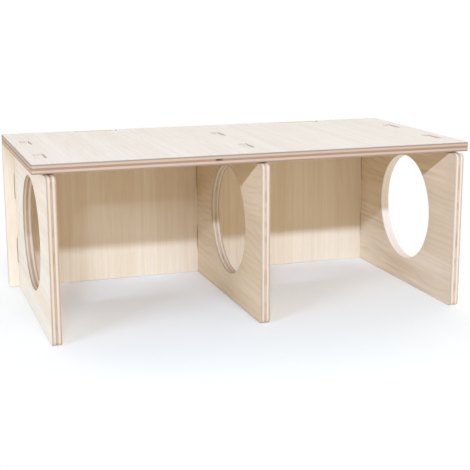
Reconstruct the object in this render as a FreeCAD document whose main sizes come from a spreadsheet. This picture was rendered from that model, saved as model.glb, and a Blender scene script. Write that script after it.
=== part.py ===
"""Wooden hamster house: five plywood panels that slot together, built as a parametric document.

The house stands on the ground with its open side facing -Y. X runs along the roof, Z is up, and the origin is
at the centre of the footprint. All sizes are millimetres.
"""

import FreeCAD, Part
import os
import Sketcher

# Driving dimensions. Each one can be changed by itself.
SIZES = [
    ("sheet_thickness", 5.0, "plywood sheet that all five panels are cut from"),
    ("roof_length", 240.0, "roof along X; the back wall is as long"),
    ("roof_depth", 120.0, "roof from its front edge to its rear edge"),
    ("roof_corner_radius", 1.5, "sanded corners of the roof, seen from above"),
    ("roof_side_overhang", 6.0, "roof past the outer face of each side wall"),
    ("wall_height", 86.5, "ground to the underside of the roof"),
    ("wall_corner_radius", 2.5, "sanded corners of the uprights that stand free"),
    ("side_wall_front_reach", 5.5, "side walls in front of the roof's front edge"),
    ("middle_wall_front_reach", 3.0, "middle wall in front of the roof's front edge"),
    ("doorway_diameter", 62.0, "round doorway cut through every cross wall"),
    ("doorway_setback", 54.0, "roof's front edge back to the middle of a doorway"),
    ("doorway_centre_height", 46.0, "ground to the middle of a doorway"),
    ("roof_tab_length", 15.6, "each tab of a cross wall that enters the roof"),
    ("roof_tab_spacing", 51.0, "middle of a front tab to the middle of the rear one"),
    ("rear_tab_height", 14.6, "each tab of a cross wall that enters the back wall"),
    ("rear_tab_low_centre", 22.4, "ground to the middle of the lower rear tab"),
    ("rear_tab_high_centre", 61.2, "ground to the middle of the upper rear tab"),
    ("back_tab_length", 25.0, "each tab of the back wall that enters a roof notch"),
    ("back_tab_offset", 65.0, "middle of the house to the middle of a back tab"),
    ("cross_wall_tab_recess", 0.7, "end of a cross wall's tab below the face that it comes out of"),
    ("back_tab_recess", 0.1, "end of a back tab below the top of the roof"),
    ("slot_clearance", 0.2, "gap between a tab and its slot, on each side"),
]

os.makedirs("parts", exist_ok=True)
doc = FreeCAD.newDocument("HamsterHouse")

sheet = doc.addObject("Spreadsheet::Sheet", "Sizes")
for row, (alias, size, meaning) in enumerate(SIZES, start=1):
    sheet.set(f"A{row}", alias)
    sheet.set(f"B{row}", str(size))
    sheet.set(f"C{row}", meaning)
    sheet.setAlias(f"B{row}", alias)
doc.recompute()

# Places that several panels share, in terms of the driving dimensions.
THICKNESS = "Sizes.sheet_thickness"
CLEARANCE = "Sizes.slot_clearance"
CROSS_WALL_TAB_REACH = "(Sizes.sheet_thickness - Sizes.cross_wall_tab_recess)"
BACK_TAB_REACH = "(Sizes.sheet_thickness - Sizes.back_tab_recess)"
FRONT_REACH = "max(Sizes.side_wall_front_reach; Sizes.middle_wall_front_reach)"
ROOF_FRONT_Y = f"({FRONT_REACH} - Sizes.roof_depth) / 2"
REAR_Y = f"({FRONT_REACH} + Sizes.roof_depth) / 2"
BACK_WALL_INNER_Y = f"({REAR_Y} - Sizes.sheet_thickness)"
DOORWAY_Y = f"({ROOF_FRONT_Y} + Sizes.doorway_setback)"
ROOF_TAB_CENTRES_Y = [f"({DOORWAY_Y} {sign} Sizes.roof_tab_spacing / 2)" for sign in "-+"]
REAR_TAB_CENTRES_Z = ["Sizes.rear_tab_low_centre", "Sizes.rear_tab_high_centre"]
BACK_TAB_CENTRES_X = ["(-Sizes.back_tab_offset)", "Sizes.back_tab_offset"]
SIDE_WALL_X = "(Sizes.roof_length / 2 - Sizes.roof_side_overhang)"

# Each cross wall: where its left face is and where its front edge is.
CROSS_WALLS = {
    "left_wall": (f"(-{SIDE_WALL_X})", f"({ROOF_FRONT_Y} - Sizes.side_wall_front_reach)"),
    "middle_wall": ("(-Sizes.sheet_thickness / 2)", f"({ROOF_FRONT_Y} - Sizes.middle_wall_front_reach)"),
    "right_wall": (f"({SIDE_WALL_X} - {THICKNESS})", f"({ROOF_FRONT_Y} - Sizes.side_wall_front_reach)"),
}


def value(expression):
    """Number that an expression gives with the present sizes."""
    return float(sheet.evalExpression(expression))


def new_panel(label, **place):
    """Empty body whose placement follows the expressions given for x, y and z."""
    body = doc.addObject("PartDesign::Body", label)
    body.Label = label
    for axis, expression in place.items():
        body.setExpression(f".Placement.Base.{axis}", expression)
    return body


def new_sketch(body, plane, name):
    """Sketch on one of the body's own origin planes, such as XY_Plane."""
    sketch = body.newObject("Sketcher::SketchObject", f"{body.Name}_{name}")
    planes = {feature.Role: feature for feature in body.Origin.OriginFeatures}
    sketch.AttachmentSupport = (planes[plane], "")
    sketch.MapMode = "FlatFace"
    return sketch


def bind(sketch, constraint, expression):
    """Adds a constraint that follows an expression."""
    index = sketch.addConstraint(constraint)
    sketch.setExpression(f"Constraints[{index}]", expression)


def draw_rectangle(sketch, left, right, bottom, top):
    """Upright rectangle between four expressions, measured from the sketch's origin."""
    low = FreeCAD.Vector(value(left), value(bottom), 0)
    high = FreeCAD.Vector(value(right), value(top), 0)
    corners = [low, FreeCAD.Vector(high.x, low.y, 0), high, FreeCAD.Vector(low.x, high.y, 0)]
    lines = [sketch.addGeometry(Part.LineSegment(corners[i], corners[(i + 1) % 4])) for i in range(4)]
    for i in range(4):
        sketch.addConstraint(Sketcher.Constraint("Coincident", lines[i], 2, lines[(i + 1) % 4], 1))
    for i in (0, 2):
        sketch.addConstraint(Sketcher.Constraint("Horizontal", lines[i]))
        sketch.addConstraint(Sketcher.Constraint("Vertical", lines[i + 1]))
    bind(sketch, Sketcher.Constraint("DistanceX", -1, 1, lines[0], 1, low.x), left)
    bind(sketch, Sketcher.Constraint("DistanceY", -1, 1, lines[0], 1, low.y), bottom)
    bind(sketch, Sketcher.Constraint("DistanceX", -1, 1, lines[2], 1, high.x), right)
    bind(sketch, Sketcher.Constraint("DistanceY", -1, 1, lines[2], 1, high.y), top)


def draw_circle(sketch, x, y, radius):
    """Circle whose centre and radius follow expressions."""
    centre = FreeCAD.Vector(value(x), value(y), 0)
    circle = sketch.addGeometry(Part.Circle(centre, FreeCAD.Vector(0, 0, 1), value(radius)))
    bind(sketch, Sketcher.Constraint("DistanceX", -1, 1, circle, 3, centre.x), x)
    bind(sketch, Sketcher.Constraint("DistanceY", -1, 1, circle, 3, centre.y), y)
    bind(sketch, Sketcher.Constraint("Radius", circle, value(radius)), radius)


def pad_sheet(body, sketch, name):
    """Adds the sketched shape, one sheet thick."""
    pad = body.newObject("PartDesign::Pad", f"{body.Name}_{name}")
    pad.Profile = sketch
    pad.setExpression("Length", THICKNESS)
    doc.recompute()
    return pad


def cut_sheet(body, sketch, name):
    """Cuts the sketched shape right through the sheet and checks that it took material away."""
    before = body.Shape.Volume
    pocket = body.newObject("PartDesign::Pocket", f"{body.Name}_{name}")
    pocket.Profile = sketch
    pocket.Midplane = True
    pocket.setExpression("Length", f"4 * {THICKNESS}")
    doc.recompute()
    if body.Shape.Volume >= before:
        raise RuntimeError(f"{body.Label}: {name} cut nothing")
    return pocket


def round_corners(body, corners, radius):
    """Rounds the through-thickness edges that pass through the given points of the body."""
    doc.recompute()
    base = body.Tip
    names = []
    for index, edge in enumerate(base.Shape.Edges, start=1):
        ends = [vertex.Point for vertex in edge.Vertexes]
        if len(ends) == 2 and any(near_corner(ends, corner) for corner in corners):
            names.append(f"Edge{index}")
    if len(names) != len(corners):
        raise RuntimeError(f"{body.Label}: found {len(names)} of {len(corners)} corners")
    fillet = body.newObject("PartDesign::Fillet", f"{body.Name}_corners")
    fillet.Base = (base, names)
    fillet.setExpression("Radius", radius)
    doc.recompute()
    return fillet


def near_corner(ends, corner):
    """True when an edge runs through the sheet at a corner: two numbers, and None for the way it runs."""
    tolerance = 1e-4
    return all(abs(end[i] - corner[i]) < tolerance for end in ends for i in range(3) if corner[i] is not None)


def between(centre, length, margin="0"):
    """Both ends of a stretch about its centre, with a margin added at each end."""
    half = f"({length} / 2 + {margin})"
    return f"{centre} - {half}", f"{centre} + {half}"


def slot_sides(wall_x):
    """Left and right side of the slots that take a cross wall's tabs."""
    return f"{wall_x} - {CLEARANCE}", f"{wall_x} + {THICKNESS} + {CLEARANCE}"


def build_roof():
    """Roof sheet: six slots for the cross walls' tabs and two rear notches for the back wall's tabs."""
    body = new_panel("roof_panel", z="Sizes.wall_height")
    left, right = "(-Sizes.roof_length / 2)", "(Sizes.roof_length / 2)"

    blank = new_sketch(body, "XY_Plane", "outline")
    draw_rectangle(blank, left, right, ROOF_FRONT_Y, REAR_Y)
    pad_sheet(body, blank, "sheet")

    slots = new_sketch(body, "XY_Plane", "slot_lines")
    for wall_x, _ in CROSS_WALLS.values():
        left_side, right_side = slot_sides(wall_x)
        for centre in ROOF_TAB_CENTRES_Y:
            near, far = between(centre, "Sizes.roof_tab_length", CLEARANCE)
            draw_rectangle(slots, left_side, right_side, near, far)
    cut_sheet(body, slots, "slots")

    notches = new_sketch(body, "XY_Plane", "notch_lines")
    for centre in BACK_TAB_CENTRES_X:
        start, end = between(centre, "Sizes.back_tab_length", CLEARANCE)
        draw_rectangle(notches, start, end, f"{BACK_WALL_INNER_Y} - {CLEARANCE}", f"{REAR_Y} + {THICKNESS}")
    cut_sheet(body, notches, "notches")

    corners = [(value(x), value(y), None) for x in (left, right) for y in (ROOF_FRONT_Y, REAR_Y)]
    round_corners(body, corners, "Sizes.roof_corner_radius")
    return body


def build_cross_wall(label, left_x, front_y):
    """Upright with a round doorway, two tabs up into the roof and two tabs back into the back wall."""
    body = new_panel(label, x=left_x)
    height = "Sizes.wall_height"

    blank = new_sketch(body, "YZ_Plane", "outline")
    draw_rectangle(blank, front_y, BACK_WALL_INNER_Y, "0", height)
    pad_sheet(body, blank, "sheet")

    tabs = new_sketch(body, "YZ_Plane", "tab_lines")
    for centre in ROOF_TAB_CENTRES_Y:
        near, far = between(centre, "Sizes.roof_tab_length")
        draw_rectangle(tabs, near, far, f"{height} - {THICKNESS}", f"{height} + {CROSS_WALL_TAB_REACH}")
    root_y, end_y = f"{BACK_WALL_INNER_Y} - {THICKNESS}", f"{BACK_WALL_INNER_Y} + {CROSS_WALL_TAB_REACH}"
    for centre in REAR_TAB_CENTRES_Z:
        low, high = between(centre, "Sizes.rear_tab_height")
        draw_rectangle(tabs, root_y, end_y, low, high)
    pad_sheet(body, tabs, "tabs")

    doorway = new_sketch(body, "YZ_Plane", "doorway_line")
    draw_circle(doorway, DOORWAY_Y, "Sizes.doorway_centre_height", "Sizes.doorway_diameter / 2")
    cut_sheet(body, doorway, "doorway")

    corners = [(None, value(front_y), z) for z in (0, value(height))]
    round_corners(body, corners, "Sizes.wall_corner_radius")
    return body


def build_back_wall():
    """Rear upright, flush with the roof's ends and rear edge: six slots and two tabs up into the roof."""
    body = new_panel("back_wall", y=REAR_Y)
    left, right = "(-Sizes.roof_length / 2)", "(Sizes.roof_length / 2)"
    height = "Sizes.wall_height"

    blank = new_sketch(body, "XZ_Plane", "outline")
    draw_rectangle(blank, left, right, "0", height)
    pad_sheet(body, blank, "sheet")

    tabs = new_sketch(body, "XZ_Plane", "tab_lines")
    for centre in BACK_TAB_CENTRES_X:
        start, end = between(centre, "Sizes.back_tab_length")
        draw_rectangle(tabs, start, end, f"{height} - {THICKNESS}", f"{height} + {BACK_TAB_REACH}")
    pad_sheet(body, tabs, "tabs")

    slots = new_sketch(body, "XZ_Plane", "slot_lines")
    for wall_x, _ in CROSS_WALLS.values():
        left_side, right_side = slot_sides(wall_x)
        for centre in REAR_TAB_CENTRES_Z:
            low, high = between(centre, "Sizes.rear_tab_height", CLEARANCE)
            draw_rectangle(slots, left_side, right_side, low, high)
    cut_sheet(body, slots, "slots")

    corners = [(value(x), None, 0) for x in (left, right)]
    round_corners(body, corners, "Sizes.wall_corner_radius")
    return body


panels = [build_roof()]
for label, (left_x, front_y) in CROSS_WALLS.items():
    panels.append(build_cross_wall(label, left_x, front_y))
panels.append(build_back_wall())
doc.recompute()

for item in doc.Objects:
    if "Invalid" in item.State or "Error" in item.State:
        raise RuntimeError(f"{item.Label} failed: {item.State}")
for panel in panels:
    if panel.Shape.isNull() or not panel.Shape.isValid() or len(panel.Shape.Solids) != 1:
        raise RuntimeError(f"{panel.Label} is not one valid solid")
for panel in panels:
    panel.Shape.exportStep(f"parts/{panel.Label}.step")
    box = panel.Shape.BoundBox
    print(f"{panel.Label}: volume {panel.Shape.Volume:.1f} mm3, box x {box.XMin:.2f} to {box.XMax:.2f}, "
          f"y {box.YMin:.2f} to {box.YMax:.2f}, z {box.ZMin:.2f} to {box.ZMax:.2f}")
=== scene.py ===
"""Wooden hamster house: five slotted plywood boards on a pale floor, in metres."""

import bpy
import numpy as np
from mathutils import Matrix, Vector
from mathutils.geometry import delaunay_2d_cdt


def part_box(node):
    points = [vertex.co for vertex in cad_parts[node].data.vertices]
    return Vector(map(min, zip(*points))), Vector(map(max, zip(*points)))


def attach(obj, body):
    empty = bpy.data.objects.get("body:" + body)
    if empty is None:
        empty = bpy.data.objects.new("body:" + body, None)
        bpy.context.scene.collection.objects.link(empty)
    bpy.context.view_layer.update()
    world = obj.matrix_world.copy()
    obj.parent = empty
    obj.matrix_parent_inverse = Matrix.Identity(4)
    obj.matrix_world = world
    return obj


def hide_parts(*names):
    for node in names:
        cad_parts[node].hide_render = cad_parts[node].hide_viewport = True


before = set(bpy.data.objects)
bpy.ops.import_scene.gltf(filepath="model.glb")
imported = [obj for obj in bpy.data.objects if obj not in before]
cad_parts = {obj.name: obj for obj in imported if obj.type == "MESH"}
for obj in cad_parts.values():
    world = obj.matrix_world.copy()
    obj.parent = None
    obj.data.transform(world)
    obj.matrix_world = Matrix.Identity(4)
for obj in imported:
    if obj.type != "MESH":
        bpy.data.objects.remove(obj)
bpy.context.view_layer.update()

# Back wall: one board of three-ply basswood as long as the roof. Six slots take the cross walls' rear tabs,
# and its two top tabs stand up into the roof's rear notches. It was routed out of the sheet, then lightly
# sanded.
MM = 0.001
cross_walls = ("left_wall", "middle_wall", "right_wall")
back_low, back_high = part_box("back_wall")
roof_low, roof_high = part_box("roof_panel")
wall_height = roof_low.z
board_thickness = roof_high.z - roof_low.z
slot_clearance = 0.2 * MM
free_corner_radius = 2.5 * MM
slot_corner_radius = 0.4 * MM  # as the cutter leaves it
tab_root_radius = 0.15 * MM  # small enough to seat against the next board
tab_corner_radius = 0.8 * MM  # broken with sandpaper
outline_step = 0.7 * MM
fewest_arc_points = 5
merged_within = 0.01 * MM  # points of an outline closer than this are one
rear_tab_height = 14.6 * MM
rear_tab_centres = (22.4 * MM, 61.2 * MM)
back_tab_length = 25.0 * MM
back_tab_offset = 65.0 * MM


def outline(corners):
    """Closed path with the board on its left: straight runs, and an arc at each corner (u, v, radius).

    The outward normal is the direction of travel turned a quarter to the right. On an arc it turns evenly,
    and the point is the arc's centre plus the radius along it. Returns the points and their outward normals.
    """
    corners = np.array(corners, float)
    place, radius = corners[:, :2], corners[:, 2]
    leaving = np.roll(place, -1, 0) - place
    heading = np.arctan2(leaving[:, 1], leaving[:, 0])
    arriving = np.roll(heading, 1)
    turn = (heading - arriving + np.pi) % (2 * np.pi) - np.pi
    side = np.sign(turn)
    trimmed = radius * np.tan(np.abs(turn) / 2)
    run = np.hypot(*leaving.T) - trimmed - np.roll(trimmed, -1)
    points, angles = [], []
    for corner in range(len(corners)):
        steps = max(fewest_arc_points, int(radius[corner] * abs(turn[corner]) / outline_step) + 2)
        angle = arriving[corner] + turn[corner] * np.linspace(0, 1, steps)
        normal = np.stack([np.sin(angle), -np.cos(angle)], 1)
        start = place[corner] - trimmed[corner] * np.array([np.cos(angle[0]), np.sin(angle[0])])
        arc = start + side[corner] * radius[corner] * (normal - normal[0])
        length = max(run[corner], 0)
        along = np.linspace(0, length, int(length / outline_step) + 2)[1:-1, None]
        straight = arc[-1] + along * np.array([np.cos(angle[-1]), np.sin(angle[-1])])
        points += [arc, straight]
        angles += [angle, np.full(len(straight), angle[-1])]
    points, angles = np.concatenate(points), np.concatenate(angles)
    apart = np.hypot(*(points - np.roll(points, 1, 0)).T) > merged_within
    return points[apart], np.stack([np.sin(angles), -np.cos(angles)], 1)[apart]


def rectangle(left, right, bottom, top, radius):
    """Corners of a hole, passed clockwise so that the board is on the left."""
    return [(left, bottom, radius), (left, top, radius), (right, top, radius), (right, bottom, radius)]


def tabbed_run(start, end, level, reach, centres, length, direction):
    """Corners of a straight side from start to end with square tabs on it, each reach further out than level.

    direction is 1 where the side runs to larger numbers and -1 where it runs back.
    """
    corners = [(start, level, tab_corner_radius)]
    for centre in sorted(centres)[::direction]:
        near, far = centre - direction * length / 2, centre + direction * length / 2
        corners += [(near, level, tab_root_radius), (near, level + reach, tab_corner_radius)]
        corners += [(far, level + reach, tab_corner_radius), (far, level, tab_root_radius)]
    return corners + [(end, level, tab_corner_radius)]


face_margin = 0.6 * MM  # strip of each face beside a cut, drawn darker toward the arris
arris_radius = 0.3 * MM
arris_rows = 4
rim_height = 0.5 * MM  # darker band at the edge of each outer ply
core_thickness = 1.1 * MM
glue_half_width = 0.05 * MM
glue_groove = 0.07 * MM
core_recess = 0.05 * MM


def edge_profile():
    """Section of a cut edge from one face to the other, with each row's share of cut, rim, glue and core.

    A quarter circle rounds each arris. Between them the cut runs straight, with a groove at each glue line
    and the softer core a little deeper. The second half is the first one mirrored.
    """
    glue = (board_thickness - core_thickness) / 2

    # Each row's height above the low face, its inset, and its shares of cut, rim, glue line and core.
    rows = [(0, face_margin, 0, 0, 0, 0)]
    for angle in np.linspace(0, np.pi / 2, arris_rows):
        inset, height = arris_radius * (1 - np.sin(angle)), arris_radius * (1 - np.cos(angle))
        rows.append((height, inset, 0.5 + angle / np.pi, 1, 0, 0))
    rows += [
        (rim_height, 0, 1, 1, 0, 0),
        (2 * rim_height, 0, 1, 0, 0, 0),
        (glue - 3 * glue_half_width, 0, 1, 0, 0, 0),
        (glue - glue_half_width, glue_groove, 1, 0, 1, 0),
        (glue + glue_half_width, glue_groove, 1, 0, 1, 1),
        (glue + 3 * glue_half_width, core_recess, 1, 0, 0, 1),
        (glue + core_thickness / 4, core_recess, 1, 0, 0, 1),
    ]
    first = np.array(rows).T
    height, inset, cut, rim, glue_line, core = np.concatenate([first, first[:, ::-1]], 1)
    height[len(rows):] = board_thickness - height[len(rows):]
    return height, inset, {"cut": cut, "rim": rim, "glue_line": glue_line, "core": core}


def smooth_noise(rng, count, reach):
    """Closed row of random numbers, each the mean of its neighbours within reach, stretched to fill 0 to 1.

    The mean gives each neighbour the weight of a raised cosine.
    """
    raw = rng.random(count)
    kernel = np.hanning(2 * reach + 3)[1:-1]
    wrapped = np.concatenate([raw[-reach:], raw, raw[:reach]])
    soft = np.convolve(wrapped, kernel / kernel.sum(), "valid")
    return (soft - soft.min()) / (soft.max() - soft.min())


def fill_outlines(name, rings):
    """Triangles over the board's face: inside the outer ring and outside the holes, all turned anticlockwise.

    A triangle is kept where a level line from its middle to the right crosses the rings an odd number of
    times. Twice its area is the cross product of two of its sides, and it is turned where that is negative.
    """
    starts = np.cumsum([0, *(len(ring) for ring in rings[:-1])])
    sides = [start + np.stack([np.arange(len(ring)), np.roll(np.arange(len(ring)), -1)], 1)
             for start, ring in zip(starts, rings)]
    sides = np.concatenate(sides)
    points = np.concatenate(rings) / MM
    inside_sides, closest = 1, 1e-6
    corners, _, faces, sources, *_ = delaunay_2d_cdt(
        [Vector(point) for point in points], sides.tolist(), [], inside_sides, closest)
    if len(corners) != len(points):
        raise RuntimeError(f"{name}: the outlines of the face cross")
    source = np.array([given[0] for given in sources])
    triangles = source[np.array(faces)]
    middle = points[triangles].mean(1)
    level = middle[:, None, 1]
    near, far = points[sides[:, 0]], points[sides[:, 1]]
    spans = (near[None, :, 1] > level) != (far[None, :, 1] > level)
    rise = np.where(far[:, 1] == near[:, 1], 1.0, far[:, 1] - near[:, 1])
    crossing = near[:, 0] + (level - near[:, 1]) * (far[:, 0] - near[:, 0]) / rise
    triangles = triangles[(spans & (middle[:, None, 0] < crossing)).sum(1) % 2 == 1]
    first, second, third = (points[triangles[:, corner]] for corner in range(3))
    along, aside = second - first, third - first
    area = along[:, 0] * aside[:, 1] - along[:, 1] * aside[:, 0]
    triangles[area < 0] = triangles[area < 0][:, ::-1]
    return triangles


core_fibre_depth = 0.05 * MM  # the core's fibres are torn off across the grain
cut_fibre_depth = 0.03 * MM
gap_power = 4  # makes the sides of a gap steep and its floor even
hole_sanding = 0.85  # how far a doorway or a slot is sanded, where 1 is as far as a tab
sanding_loss = 0.6  # share of the plies' contrast that full sanding takes away


def board(name, body, loops, corner, axes, grain, seed, tabs_from=(np.inf, np.inf), sanded_holes=False,
          gap=None):
    """Builds one board: the edge profile carried along each outline, and both faces filled between them.

    A point of the edge is the outline's point, less its outward normal times the inset, raised by the height.
    axes holds the board's two flat directions and the direction through it, and corner is where they start.
    Past either length in tabs_from the edge is a tab's, which is sanded so that its plies hardly show, and
    sanded_holes says whether the holes are too. gap is a short hollow in the core: its place on the outline,
    half its length, and its depth, which is divided by e to the power of the distance in half lengths, itself
    raised to gap_power.
    """
    rng = np.random.default_rng(seed)
    height, inset, shares = edge_profile()
    rows = len(height)
    core = shares["core"][:, None]
    full_cut = shares["cut"][:, None] == 1
    rings, vertices, normals, quads, rims = [], [], [], [], []
    marks = {mark: [] for mark in (*shares, "sanded", "high_side", "end_grain")}
    first = 0
    for points, outward in loops:
        count = len(points)
        fibres = smooth_noise(rng, count, 1) * core * core_fibre_depth
        fibres = fibres + smooth_noise(rng, count, 3) * full_cut * cut_fibre_depth
        if gap:
            place, half_length, depth = gap
            away = np.hypot(*(points - place).T) / half_length
            fibres = fibres + depth * np.exp(-away ** gap_power) * core
        plane = points - outward * (inset[:, None] + fibres)[:, :, None]
        solid = corner + plane @ axes[:2] + height[:, None, None] * axes[2]
        along = np.roll(solid, -1, 1) - np.roll(solid, 1, 1)
        normal = np.cross(along, np.gradient(solid, axis=0))
        normal[:2], normal[-2:] = -axes[2], axes[2]  # the first two and last two rows lie in the faces
        index = first + np.arange(rows * count).reshape(rows, count)
        after = np.roll(index, -1, 1)
        quads.append(np.stack([index[:-1], after[:-1], after[1:], index[1:]], -1).reshape(-1, 4))
        vertices.append(solid.reshape(-1, 3))
        normals.append(normal.reshape(-1, 3))
        on_tab = (points > np.array(tabs_from)).any(1)
        # A sanded hole is drawn paler; on the right wall's doorway that paleness is partly painted light.
        sanded = np.where(on_tab, 1.0, hole_sanding if sanded_holes and first else 0.0)
        for mark, share in shares.items():
            kept = 1.0 if mark == "cut" else 1.0 - sanding_loss * sanded
            marks[mark].append((share[:, None] * kept * np.ones(count)).ravel())
        marks["sanded"].append(np.tile(sanded, rows))
        marks["high_side"].append(np.repeat(height > board_thickness / 2, count))
        marks["end_grain"].append(np.tile(np.abs(outward @ (axes[:2] @ grain)), rows))
        rings.append(plane[0])
        rims.append(index[[0, -1]])
        first += rows * count
    triangles = fill_outlines(name, rings)
    low_rim, high_rim = np.concatenate(rims, 1)
    faces = np.concatenate(quads).tolist()
    faces += low_rim[triangles[:, ::-1]].tolist() + high_rim[triangles].tolist()
    normals = np.concatenate(normals)
    normals /= np.linalg.norm(normals, axis=1)[:, None]
    mesh = bpy.data.meshes.new(name)
    mesh.from_pydata(np.concatenate(vertices).tolist(), [], faces)
    for mark, values in marks.items():
        layer = mesh.attributes.new(mark, "FLOAT", "POINT")
        layer.data.foreach_set("value", np.concatenate(values).astype(np.float32))
    mesh.shade_smooth()
    mesh.normals_split_custom_set_from_vertices(normals.tolist())
    piece = bpy.data.objects.new(name, mesh)
    bpy.context.scene.collection.objects.link(piece)
    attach(piece, body)
    return piece


def linear(code):
    """Linear colour of an sRGB hex code such as EAD9C2, with an alpha of 1.

    A channel up to 0.04045 is divided by 12.92. A brighter one has 0.055 added, is divided by 1.055 and is
    raised to the power 2.4.
    """
    channels = np.array([int(code[i : i + 2], 16) for i in (0, 2, 4)]) / 255
    bright = ((channels + 0.055) / 1.055) ** 2.4
    return (*np.where(channels <= 0.04045, channels / 12.92, bright).tolist(), 1.0)


def add_node(tree, kind, inputs, **settings):
    """Adds a node with its settings and returns its outputs; each input is a value or another output."""
    node = tree.nodes.new(kind)
    for setting, value in settings.items():
        setattr(node, setting, value)
    for socket, value in inputs.items():
        if isinstance(value, bpy.types.NodeSocket):
            tree.links.new(value, node.inputs[socket])
        else:
            node.inputs[socket].default_value = value
    return node.outputs


# Sockets of a colour Mix node, by number, because its float and colour sockets share their names.
SHARE, COLOUR_A, COLOUR_B, COLOUR_RESULT = 0, 6, 7, 2

# Palest and most tan colour of each kind of veneer.
inner_veneer = ("E3CDAA", "D0B388")
# The left wall's outer veneer is paler and greyer: partly the wood's own tone, partly painted light of that
# brightly lit side.
outer_veneer = ("EDE2CC", "DECAAB")
# Painted light: whiter than the other veneers, to offset the warm surround that alone lights the back board's
# rear face and the right wall's outer face.
whiter_veneer = ("ECE4D9", "DDCDB9")
back_inner_veneer = ("F2E2C6", "DFC49C")
palest, most_tan = 0.75, 1.25  # bands and streaks together, where a face stops growing paler or more tan
painted_light_amount = 0.5  # painted light: taken off them where a high face reaches past the side walls, as much as lies between those two
painted_light_blend = 1.0 * MM

# Outer plies, core, arris and sanded end of a cut edge, and what shows in it of the fibres and the glue.
back_cut = ("E6D6BE", "CBB297", "D2C1A8", "E2D8C8")
fibre_brown = "A98F72"
glue_brown = "94765C"
growth_line_spacing = 4.0 * MM
wobble_spacings = 7.0  # how many of these a growth line may be pushed aside
octave_strength = 0.55  # of each finer octave in a pattern, beside the one before it
fibre_relief = 0.05 * MM
pore_depth = 0.03 * MM
wood_ior = 1.47


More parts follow.
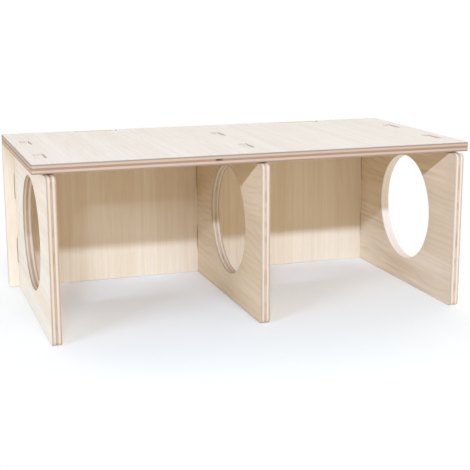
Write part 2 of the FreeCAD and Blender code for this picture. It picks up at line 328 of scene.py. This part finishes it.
def basswood_plywood(name, directions, veneers, cut_plies, contrast, latewood, drift, painted_light_past=None):
    """Three-ply basswood, routed and sanded: matt and creamy, with faint streaks and growth lines.

    Cut edges show two thick outer plies, a browner cross-laid core, a fine glue line on each side of it, and
    arrises darker in a narrow band. directions names the axes along the grain, across it and through the
    board.
    veneers holds the two colours of the low face and those of the high face, and cut_plies the four colours
    of the cut edges. contrast is how far from the palest to the most tan the streaks go, latewood how
    strongly the growth lines show, and drift an axis and how much more tan the board's reading grows along a
    metre of it. painted_light_past is how far from the middle, to the left and right, the high face is drawn
    paler, as painted light.
    """
    material = bpy.data.materials.new(name)
    material.use_nodes = True
    tree = material.node_tree
    tree.nodes.clear()
    place = add_node(tree, "ShaderNodeTexCoord", {})["Object"]
    axis = add_node(tree, "ShaderNodeSeparateXYZ", {"Vector": place})
    marks = ("cut", "rim", "glue_line", "core", "sanded", "high_side", "end_grain")
    mark = {key: add_node(tree, "ShaderNodeAttribute", {}, attribute_name=key)["Fac"] for key in marks}
    turned = {socket: axis[direction] for socket, direction in zip("XYZ", directions)}
    lengths = add_node(tree, "ShaderNodeCombineXYZ", turned)["Vector"]

    # Size of each pattern along the grain, across it and through the board in millimetres, and its finer
    # octaves. Fibres and pores are drawn about three times as coarse as the real ones, so that they show.
    pattern_sizes = {
        "bands": (300, 13, 4, 1),
        "streaks": (160, 2.5, 4, 2),
        "wobble": (110, 40, 6, 2),
        "broken": (34, 7, 3, 1),
        "fibres": (14, 0.4, 1, 3),
        "pores": (3.5, 0.22, 1, 1),
    }
    noise = {}
    for pattern, (length, width, depth, octaves) in pattern_sizes.items():
        scale = (1 / (length * MM), 1 / (width * MM), 1 / (depth * MM))
        drawn_out = add_node(tree, "ShaderNodeMapping", {"Vector": lengths, "Scale": scale})["Vector"]
        inputs = {"Vector": drawn_out, "Scale": 1.0, "Detail": octaves, "Roughness": octave_strength}
        noise[pattern] = add_node(tree, "ShaderNodeTexNoise", inputs)["Fac"]

    # The veneer's reading is bands plus streaks, plus the drift along the board, less the painted light on
    # the ends of the high face.
    inputs = {0: noise["bands"], 1: noise["streaks"]}
    veneer_reading = add_node(tree, "ShaderNodeMath", inputs, operation="ADD")["Value"]
    drift_axis, drift_rate = drift
    inputs = {0: axis[drift_axis], 1: drift_rate, 2: veneer_reading}
    veneer_reading = add_node(tree, "ShaderNodeMath", inputs, operation="MULTIPLY_ADD")["Value"]
    # Painted light: the high face is drawn paler where it reaches past the side walls, outside the house.
    if painted_light_past:
        aside = add_node(tree, "ShaderNodeMath", {0: axis["X"]}, operation="ABSOLUTE")["Value"]
        inputs = {"Value": aside, "From Min": painted_light_past - painted_light_blend, "From Max": painted_light_past}
        outside = add_node(tree, "ShaderNodeMapRange", inputs)["Result"]
        inputs = {0: outside, 1: mark["high_side"]}
        painted_light_share = add_node(tree, "ShaderNodeMath", inputs, operation="MULTIPLY")["Value"]
        inputs = {0: painted_light_share, 1: -painted_light_amount, 2: veneer_reading}
        veneer_reading = add_node(tree, "ShaderNodeMath", inputs, operation="MULTIPLY_ADD")["Value"]

    # Growth lines stand evenly apart across the grain. The wobble pushes them aside, and they fade where the
    # broken pattern is low, so that each shows for 15 to 40 mm. The same pattern breaks up the core's glue.
    inputs = {0: noise["wobble"], 1: wobble_spacings}
    pushed = add_node(tree, "ShaderNodeMath", inputs, operation="MULTIPLY")["Value"]
    inputs = {0: axis[directions[1]], 1: 1 / growth_line_spacing, 2: pushed}
    years = add_node(tree, "ShaderNodeMath", inputs, operation="MULTIPLY_ADD")["Value"]
    season = add_node(tree, "ShaderNodeMath", {0: years}, operation="FRACT")["Value"]
    inputs = {0: season, 1: noise["broken"]}
    growth_lines = add_node(tree, "ShaderNodeMath", inputs, operation="MULTIPLY")["Value"]
    inputs = {0: noise["broken"], 1: mark["core"]}
    core_patches = add_node(tree, "ShaderNodeMath", inputs, operation="MULTIPLY")["Value"]

    # Each reading's source, the two values between which it changes smoothly, and what it gives at either
    # one: the share of a colour that is laid on, or the roughness.
    readings = {
        "tan": (veneer_reading, palest, most_tan, 0.5 - contrast / 2, 0.5 + contrast / 2),
        "latewood": (growth_lines, 0.28, 0.55, 0.0, latewood),
        "fibres": (noise["fibres"], 0.3, 0.7, 0.10, 0.0),
        "pores": (noise["pores"], 0.62, 0.72, 0.0, 0.10),
        "end_grain": (mark["end_grain"], 0.0, 1.0, 0.0, 0.12),
        "core_patches": (core_patches, 0.45, 0.62, 0.0, 0.45),
        "glue_line": (mark["glue_line"], 0.0, 1.0, 0.0, 0.6),
        "sanded": (mark["sanded"], 0.0, 1.0, 0.0, 0.8),
        "roughness": (noise["fibres"], 0.3, 0.7, 0.68, 0.58),
    }
    share = {}
    for reading, (source, start, end, at_start, at_end) in readings.items():
        inputs = {"Value": source, "From Min": start, "From Max": end, "To Min": at_start, "To Max": at_end}
        given = add_node(tree, "ShaderNodeMapRange", inputs, interpolation_type="SMOOTHSTEP")
        share[reading] = given["Result"]

    # Colours are laid over each other in turn, on the veneer's palest colour and on the cut's outer plies.
    veneer = []
    for low_code, high_code in zip(*veneers):
        sides = {SHARE: mark["high_side"], COLOUR_A: linear(low_code), COLOUR_B: linear(high_code)}
        veneer.append(add_node(tree, "ShaderNodeMix", sides, data_type="RGBA")[COLOUR_RESULT])
    pale, tan = veneer
    outer_ply, core, arris, sanded = (linear(code) for code in cut_plies)
    fibre, glue = linear(fibre_brown), linear(glue_brown)
    face_layers = [
        (share["tan"], tan),
        (share["latewood"], fibre),
        (share["fibres"], fibre),
        (share["pores"], fibre),
    ]
    cut_layers = [
        (share["end_grain"], fibre),
        (share["fibres"], fibre),
        (mark["core"], core),
        (share["core_patches"], glue),
        (share["glue_line"], glue),
        (mark["rim"], arris),
        (share["sanded"], sanded),
    ]
    finished = []
    for colour, layers in ((pale, face_layers), (outer_ply, cut_layers)):
        for amount, tone in layers:
            inputs = {SHARE: amount, COLOUR_A: colour, COLOUR_B: tone}
            colour = add_node(tree, "ShaderNodeMix", inputs, data_type="RGBA")[COLOUR_RESULT]
        finished.append(colour)
    face, edge = finished
    inputs = {SHARE: mark["cut"], COLOUR_A: face, COLOUR_B: edge}
    wood = add_node(tree, "ShaderNodeMix", inputs, data_type="RGBA")[COLOUR_RESULT]

    raised = {"Height": noise["fibres"], "Strength": 0.35, "Distance": fibre_relief}
    normal = add_node(tree, "ShaderNodeBump", raised)["Normal"]
    sunk = {"Height": noise["pores"], "Strength": 0.3, "Distance": pore_depth, "Normal": normal}
    normal = add_node(tree, "ShaderNodeBump", sunk, invert=True)["Normal"]
    inputs = {"Base Color": wood, "Roughness": share["roughness"], "IOR": wood_ior, "Normal": normal}
    shader = add_node(tree, "ShaderNodeBsdfPrincipled", inputs)["BSDF"]
    add_node(tree, "ShaderNodeOutputMaterial", {"Surface": shader})
    return material


tab_reach = back_high.z - wall_height
back_tab_centres = (-back_tab_offset, back_tab_offset)
top = tabbed_run(
    back_high.x, back_low.x, wall_height, tab_reach, back_tab_centres, back_tab_length, direction=-1)
sill = [(back_low.x, 0, free_corner_radius), (back_high.x, 0, free_corner_radius)]
back_loops = [outline(sill + top)]
for wall in cross_walls:
    wall_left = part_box(wall)[0].x
    for centre in rear_tab_centres:
        left, right = wall_left - slot_clearance, wall_left + board_thickness + slot_clearance
        half = rear_tab_height / 2 + slot_clearance
        back_loops.append(outline(rectangle(left, right, centre - half, centre + half, slot_corner_radius)))
back_axes = np.array([[1, 0, 0], [0, 0, 1], [0, -1, 0]], float)
upright_grain = np.array([0, 0, 1.0])
back_board = board("back_board", "uprights", back_loops, np.array([0, back_high.y, 0]),
                   back_axes, upright_grain, seed=11)
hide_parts("back_wall")
# The back board's drift draws its left end more tan: painted shade in the left bay.
back_board.data.materials.append(basswood_plywood(
    "basswood_plywood_back", "ZXY", (whiter_veneer, back_inner_veneer), back_cut, contrast=0.38,
    latewood=0.04, drift=("X", -1.9), painted_light_past=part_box("right_wall")[1].x))

# Cross walls: three like boards with a round doorway each. Two tabs stand up into the roof's slots and two
# reach back into the back wall's. The front corners are rounded, because they stand free in front of the
# roof's edge.
doorway_radius = 31.0 * MM
doorway_height = 46.0 * MM
doorway_setback = 54.0 * MM
roof_tab_length = 15.6 * MM
roof_tab_spacing = 51.0 * MM
front_relief = 0.6 * MM  # sanded off the top edge in front of the first roof tab, which leaves a dark line
first_wall_seed = 21
doorway_y = roof_low.y + doorway_setback
roof_tab_centres = (doorway_y - roof_tab_spacing / 2, doorway_y + roof_tab_spacing / 2)
wall_axes = np.array([[0, 1, 0], [0, 0, 1], [1, 0, 0]], float)
level_grain = np.array([0, 1.0, 0])
# Painted light: the right wall's inner face is drawn paler than the middle wall's, for its brighter bay.
pale_inner_veneer = ("FDEACF", "CFB48E")
wall_cut = ("D8C1A4", "C2A689", "A8937A", "E2D8C8")
# The left wall's browner cut: partly the core's own colour, partly painted shade on its shaded doorway.
brown_cut = ("D7BD9D", "AF9677", "A79075", "E2D8C8")
# The right wall's cut is paler, partly as painted light on its doorway.
pale_cut = ("E2CCB1", "C6AC90", "B09C83", "EEE1D0")

# Each wall's veneers on its left and its right face, its cut plies, how strongly its growth lines show, how
# much more tan it grows along a metre rearwards, and whether its doorway was sanded. On the right wall the
# paling rearwards is painted light, and its sanded doorway is drawn paler partly as painted light.
wall_looks = {
    "left_wall": (outer_veneer, inner_veneer, brown_cut, 0.08, 0.0, False),
    "middle_wall": (inner_veneer, inner_veneer, wall_cut, 0.17, 0.0, False),
    "right_wall": (pale_inner_veneer, whiter_veneer, pale_cut, 0.15, -5.5, True),
}
for seed, wall in enumerate(cross_walls, start=first_wall_seed):
    low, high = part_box(wall)
    front_top = wall_height - front_relief
    front = [(low.y, front_top, free_corner_radius), (low.y, 0, free_corner_radius)]
    rear = tabbed_run(
        0, wall_height, back_low.y, high.y - back_low.y, rear_tab_centres, rear_tab_height, direction=1)
    rear = [(y, z, radius) for z, y, radius in rear]
    top = tabbed_run(back_low.y, low.y, wall_height, high.z - wall_height, roof_tab_centres, roof_tab_length,
                     direction=-1)
    top[-2] = (roof_tab_centres[0] - roof_tab_length / 2, front_top, tab_root_radius)
    doorway = rectangle(doorway_y - doorway_radius, doorway_y + doorway_radius,
                        doorway_height - doorway_radius, doorway_height + doorway_radius, doorway_radius)
    loops = [outline(front + rear + top[1:-1]), outline(doorway)]
    name = wall.replace("wall", "board")
    tabs_from = (back_low.y - slot_clearance, wall_height + slot_clearance)
    *veneers, cut_plies, latewood, drift, sanded_and_lit_doorway = wall_looks[wall]
    piece = board(name, "uprights", loops, np.array([low.x, 0, 0]), wall_axes, level_grain,
                  seed, tabs_from, sanded_and_lit_doorway)
    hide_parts(wall)
    piece.data.materials.append(basswood_plywood(
        f"basswood_plywood_{name}", "YZX", veneers, cut_plies, contrast=0.4, latewood=latewood,
        drift=("Y", drift)))

# Roof: one board laid on the uprights, with a slot for every roof tab and two notches in its rear edge. It
# only lies on the tabs, so it lifts straight up.
roof_corner_radius = 1.5 * MM
core_gap_x = -24.0 * MM
core_gap_half_length = 1.6 * MM
core_gap_depth = 1.5 * MM
notch_inner_y = back_low.y - slot_clearance
notch_half = back_tab_length / 2 + slot_clearance
rear_edge = [(roof_high.x, roof_high.y, roof_corner_radius)]
for centre in reversed(back_tab_centres):
    right, left = centre + notch_half, centre - notch_half
    rear_edge += [(right, roof_high.y, tab_corner_radius), (right, notch_inner_y, slot_corner_radius)]
    rear_edge += [(left, notch_inner_y, slot_corner_radius), (left, roof_high.y, tab_corner_radius)]
rear_edge.append((roof_low.x, roof_high.y, roof_corner_radius))
front_edge = [(roof_low.x, roof_low.y, roof_corner_radius), (roof_high.x, roof_low.y, roof_corner_radius)]
roof_loops = [outline(front_edge + rear_edge)]
for wall in cross_walls:
    wall_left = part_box(wall)[0].x
    for centre in roof_tab_centres:
        left, right = wall_left - slot_clearance, wall_left + board_thickness + slot_clearance
        half = roof_tab_length / 2 + slot_clearance
        roof_loops.append(outline(rectangle(left, right, centre - half, centre + half, slot_corner_radius)))
core_gap = (np.array([core_gap_x, roof_low.y]), core_gap_half_length, core_gap_depth)
roof_board = board("roof_board", "roof", roof_loops, np.array([0, 0, roof_low.z]), np.eye(3),
                   level_grain, seed=31, sanded_holes=True, gap=core_gap)
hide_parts("roof_panel")
# The roof's top veneer is near white: partly the wood's own tone, partly painted light of the brightly lit
# top.
roof_top_veneer = ("E2DDD1", "D6CCBB")
roof_cut = ("C1A183", "98785A", "8F7A66", "D9C6B2")
roof_board.data.materials.append(basswood_plywood(
    "basswood_plywood_roof", "YXZ", (inner_veneer, roof_top_veneer), roof_cut, contrast=0.45, latewood=0.04,
    drift=("X", -1.0)))

# Floor: a plain white sheet of card that fills the view from every side. It is matt near the house, and lit
# from below further out, as a studio table is, so that it melts into the white behind. Behind the house the
# card is bluer, which evens out the warm light there.
floor_reach = 2.0
matt_out_to = 0.13
lit_from = 0.27
side_shortening = 1.6  # how many times nearer these two lie to the left and right than to the front
bluer_from = 0.04
bluest_from = 0.10
front_card = "F4F2E6"
rear_card = "E5EBF7"
floor_mesh = bpy.data.meshes.new("floor")
floor_corners = [(x * floor_reach, y * floor_reach, 0.0) for x, y in ((-1, -1), (1, -1), (1, 1), (-1, 1))]
floor_mesh.from_pydata(floor_corners, [], [(0, 1, 2, 3)])
floor = bpy.data.objects.new("floor", floor_mesh)
bpy.context.scene.collection.objects.link(floor)
card = bpy.data.materials.new("matt_white_card")
card.use_nodes = True
paper = card.node_tree
paper.nodes.clear()
middle = add_node(paper, "ShaderNodeTexCoord", {})["Object"]
inputs = {"Vector": middle, "Scale": (side_shortening, 1.0, 1.0)}
squeezed = add_node(paper, "ShaderNodeMapping", inputs)["Vector"]
distance = add_node(paper, "ShaderNodeVectorMath", {0: squeezed}, operation="LENGTH")["Value"]
inputs = {"Value": distance, "From Min": matt_out_to, "From Max": lit_from}
lit_share = add_node(paper, "ShaderNodeMapRange", inputs, interpolation_type="SMOOTHSTEP")["Result"]
rearward = add_node(paper, "ShaderNodeSeparateXYZ", {"Vector": middle})["Y"]
inputs = {"Value": rearward, "From Min": bluer_from, "From Max": bluest_from}
rear_share = add_node(paper, "ShaderNodeMapRange", inputs, interpolation_type="SMOOTHSTEP")["Result"]
inputs = {SHARE: rear_share, COLOUR_A: linear(front_card), COLOUR_B: linear(rear_card)}
white = add_node(paper, "ShaderNodeMix", inputs, data_type="RGBA")[COLOUR_RESULT]
inputs = {"Base Color": white, "Roughness": 0.9, "Specular IOR Level": 0.0}
matt = add_node(paper, "ShaderNodeBsdfPrincipled", inputs)["BSDF"]
lit = add_node(paper, "ShaderNodeEmission", {"Color": (1, 1, 1, 1), "Strength": 1.0})["Emission"]
surface = add_node(paper, "ShaderNodeMixShader", {0: lit_share, 1: matt, 2: lit})["Shader"]
add_node(paper, "ShaderNodeOutputMaterial", {"Surface": surface})
floor_mesh.materials.append(card)

# Light: two long level strips in front and at the left, cool, and a warm surround that is brightest behind
# and at the right. Both strips lie in one plane with the roof's front edge, so they draw its shadow as one
# sharp line.
scene = bpy.context.scene
scene.view_settings.view_transform = "Standard"
cool_white = "C0D6FF"
warm_white = "FFF7EA"
behind_share, right_share, front_share, all_round = 1.45, 1.28, 0.42, 0.14
shadow_elevation = np.radians(30.1)
strip_spread = np.radians(2.0)  # how wide a strip looks from the roof's edge, which softens its shadows

# How far in front of the roof's edge each strip hangs, its left and right end, and how bright it is: about
# the watts that fall on each square metre of the house.
strips = {
    "front_strip": (1.5, -0.66, 0.26, 3.20),
    "left_strip": (0.7, -5.3, -0.80, 2.05),
}
for name, (ahead, left, right, brightness) in strips.items():
    # Each bit of strip counts by the strip's distance over the cube of the ray's length, and reach is the sum
    # of that along it.
    away = ahead / np.cos(shadow_elevation)
    reach = (right / np.hypot(right, away) - left / np.hypot(left, away)) / away
    lamp = bpy.data.lights.new(name, "AREA")
    lamp.shape = "RECTANGLE"
    lamp.size, lamp.size_y = right - left, away * strip_spread
    lamp.energy = np.pi * lamp.size * brightness / reach
    lamp.color = linear(cool_white)[:3]
    strip = bpy.data.objects.new(name, lamp)
    strip.location = ((left + right) / 2, roof_low.y - ahead, wall_height + ahead * np.tan(shadow_elevation))
    strip.rotation_euler = (np.pi / 2 - shadow_elevation, 0, 0)
    strip.visible_camera = False
    scene.collection.objects.link(strip)
world = bpy.data.worlds.new("warm_white_surround")
scene.world = world
world.use_nodes = True
sky = world.node_tree
sky.nodes.clear()
direction = add_node(sky, "ShaderNodeTexCoord", {})["Generated"]
toward = add_node(sky, "ShaderNodeSeparateXYZ", {"Vector": direction})

# The surround is as bright as all_round everywhere, and each side adds its share times how far a ray points
# that way. What the camera sees of it is plain white.
strength = all_round
for axis_name, amount in (("Y", behind_share), ("X", right_share), ("Y", -front_share)):
    lean = toward[axis_name]
    for operation, other in (("MULTIPLY", amount), ("MAXIMUM", 0.0), ("ADD", strength)):
        lean = add_node(sky, "ShaderNodeMath", {0: lean, 1: other}, operation=operation)["Value"]
    strength = lean
camera_ray = add_node(sky, "ShaderNodeLightPath", {})["Is Camera Ray"]
inputs = {"Color": linear(warm_white), "Strength": strength}
soft = add_node(sky, "ShaderNodeBackground", inputs)["Background"]
seen = add_node(sky, "ShaderNodeBackground", {"Color": (1, 1, 1, 1), "Strength": 1.0})["Background"]
either = add_node(sky, "ShaderNodeMixShader", {0: camera_ray, 1: soft, 2: seen})["Shader"]
add_node(sky, "ShaderNodeOutputWorld", {"Surface": either})

# Camera: a short telephoto lens in front of the house, a little to its left and above the roof. Its place,
# turn and lens were worked out from where the boards' corners and doorways lie in the picture.
camera_place = (-0.19388, -0.59379, 0.17669)
heading, pitch, roll = np.radians([18.345, 12.723, 0.171])
camera = bpy.data.objects.new("camera", bpy.data.cameras.new("camera"))
camera.data.sensor_width = 36.0
camera.data.lens = 85.122
turned = Matrix.Rotation(-heading, 3, "Z") @ Matrix.Rotation(np.pi / 2 - pitch, 3, "X")
turned = turned @ Matrix.Rotation(-roll, 3, "Z")
camera.matrix_world = Matrix.Translation(camera_place) @ turned.to_4x4()
scene.collection.objects.link(camera)
scene.camera = camera
